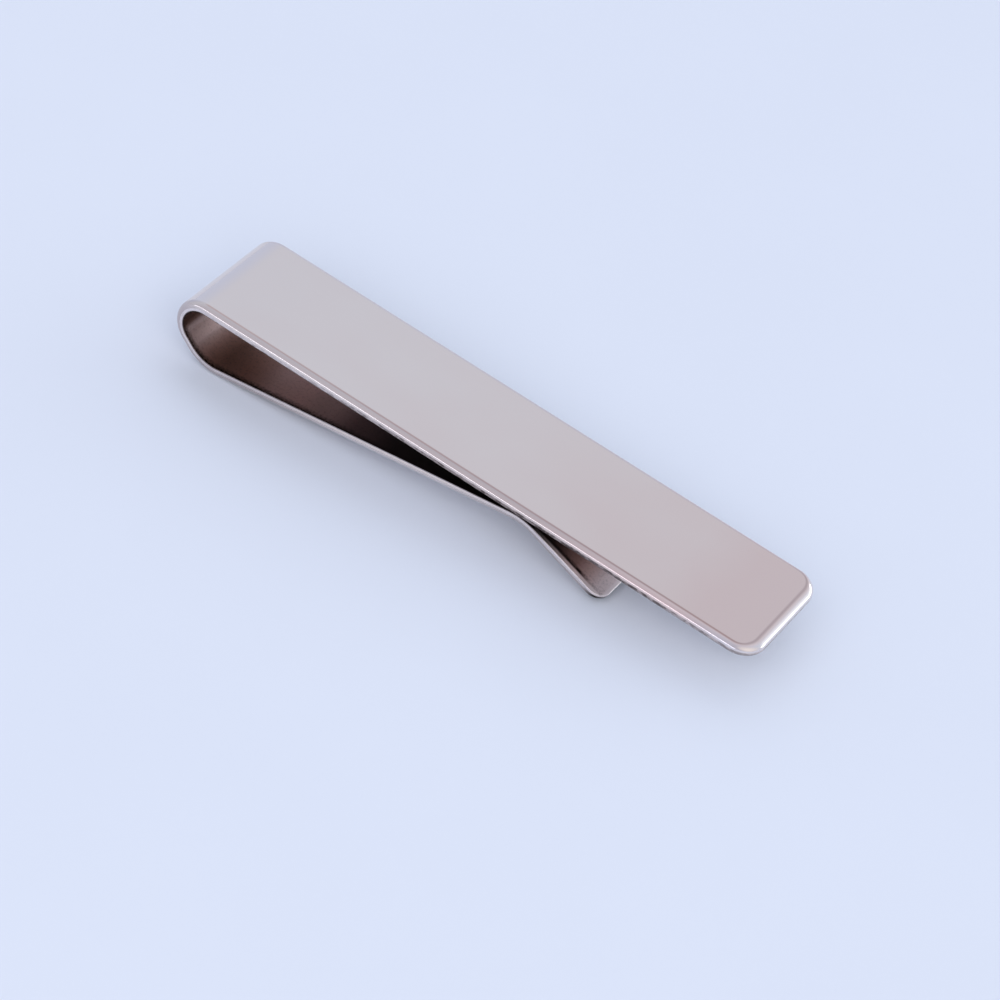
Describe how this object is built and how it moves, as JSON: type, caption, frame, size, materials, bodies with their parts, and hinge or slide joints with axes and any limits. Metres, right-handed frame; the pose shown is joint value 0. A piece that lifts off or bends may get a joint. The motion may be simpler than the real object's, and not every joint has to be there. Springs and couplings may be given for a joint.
{
  "type": "tie clip",
  "caption": "Slide-on tie clip: a flat polished front bar folded back under itself into a sprung arm that pinches the cloth and ends in a flared entry lip.",
  "frame": {"origin": "under the middle of the clip's length and width, level with the underside of the belly", "axes": "+X along the front bar from the nose to its free end, +Y across the strip, +Z out of the bar's front face"},
  "size_m": [0.04, 0.008, 0.0045],
  "materials": {
    "polished_strip": "polished, pale rose-silver plating"
  },
  "bodies": {
    "back": {"back_arm": "polished_strip", "pinch_crest": "polished_strip", "entry_lip": "polished_strip"},
    "belly": {"arm_root": "polished_strip", "belly_bend": "polished_strip", "fold_web": "polished_strip"},
    "nose": {"nose_bend": "polished_strip", "bar_root": "polished_strip"},
    "front": {"front_bar": "polished_strip"}
  },
  "joints": [
    {"name": "arm_flex", "type": "hinge", "parent": "back", "child": "belly", "pos_m": [-0.00973, 0, 0.00111], "axis": [0, -1, 0], "range_deg": [0, 3.4], "stiffness_Nm_per_rad": 0.1852},
    {"name": "fold_flex", "type": "hinge", "parent": "belly", "child": "nose", "pos_m": [-0.01937, 0, 0.00121], "axis": [0, -1, 0], "range_deg": [0, 2.5], "stiffness_Nm_per_rad": 0.4256},
    {"name": "bar_flex", "type": "hinge", "parent": "nose", "child": "front", "pos_m": [-0.01067, 0, 0.00453], "axis": [0, -1, 0], "range_deg": [0, 3.9], "stiffness_Nm_per_rad": 0.1722}
  ],
  "couplings": [
    {"joint": "fold_flex", "follows": "arm_flex", "ratio": 0.72},
    {"joint": "bar_flex", "follows": "arm_flex", "ratio": 1.14}
  ]
}
